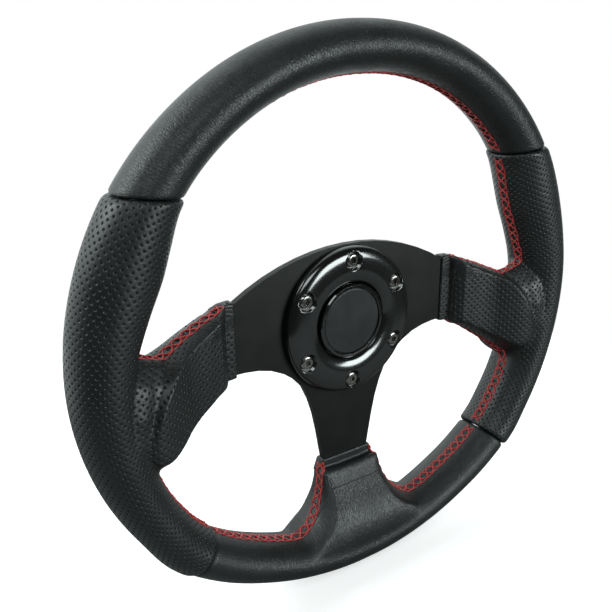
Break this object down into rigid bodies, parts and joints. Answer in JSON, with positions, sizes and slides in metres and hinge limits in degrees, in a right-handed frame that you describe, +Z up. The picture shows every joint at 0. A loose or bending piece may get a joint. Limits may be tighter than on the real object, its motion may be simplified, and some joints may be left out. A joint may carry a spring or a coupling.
{
  "type": "sports steering wheel",
  "caption": "Round three-spoke sports steering wheel with a padded leather rim, laced seams, a bolted hub plate and a sprung horn push button.",
  "frame": {"origin": "centre of the bolt circle, on the back face of the spoke plate", "axes": "+X to the driver's right, +Y away from the driver along the steering column, +Z up with the wheel straight ahead"},
  "size_m": [0.321, 0.0522, 0.3062],
  "materials": {
    "black_anodised": "satin black anodised plate with a faint brushed grain",
    "core_steel": "plain mild steel",
    "foam": "moulded polyurethane foam",
    "smooth_leather": "black leather with a fine pebble grain, low sheen",
    "perforated_leather": "black leather punched with a staggered grid of small holes",
    "red_thread": "bright red bonded polyester thread",
    "gloss_black": "gloss black coated and polished",
    "dark_steel": "black chrome socket screws",
    "black_plastic": "moulded black plastic",
    "gloss_black_plastic": "gloss black moulded plastic",
    "satin_face": "satin black plastic",
    "brass": "stamped brass",
    "spring_steel": "drawn spring wire",
    "phenolic": "brown phenolic sheet"
  },
  "bodies": {
    "wheel": {"spoke_plate": "black_anodised", "rim_core": "core_steel", "left_lug": "core_steel", "right_lug": "core_steel", "lower_lug": "core_steel", "lug_rivets": "core_steel", "foam_padding": "foam", "top_cover": "smooth_leather", "left_grip_cover": "perforated_leather", "right_grip_cover": "perforated_leather", "lower_cover": "smooth_leather", "top_stitching": "red_thread", "left_stitching": "red_thread", "right_stitching": "red_thread", "lower_stitching": "red_thread", "trim_ring": "gloss_black", "hub_screws": "dark_steel", "horn_housing": "black_plastic", "horn_spring": "spring_steel", "spring_seat": "brass", "fixed_contact": "brass", "contact_base": "phenolic", "live_terminal": "brass", "earth_terminal": "brass", "contact_rivets": "brass"},
    "button": {"horn_button": "gloss_black_plastic", "button_face": "satin_face", "contact_plate": "brass"}
  },
  "joints": [
    {"name": "horn_press", "type": "slide", "parent": "wheel", "child": "button", "axis": [0, 1, 0], "range_m": [0, 0.002], "stiffness_N_per_m": 1500, "springref_m": -0.002, "deforming": ["horn_spring"]}
  ]
}
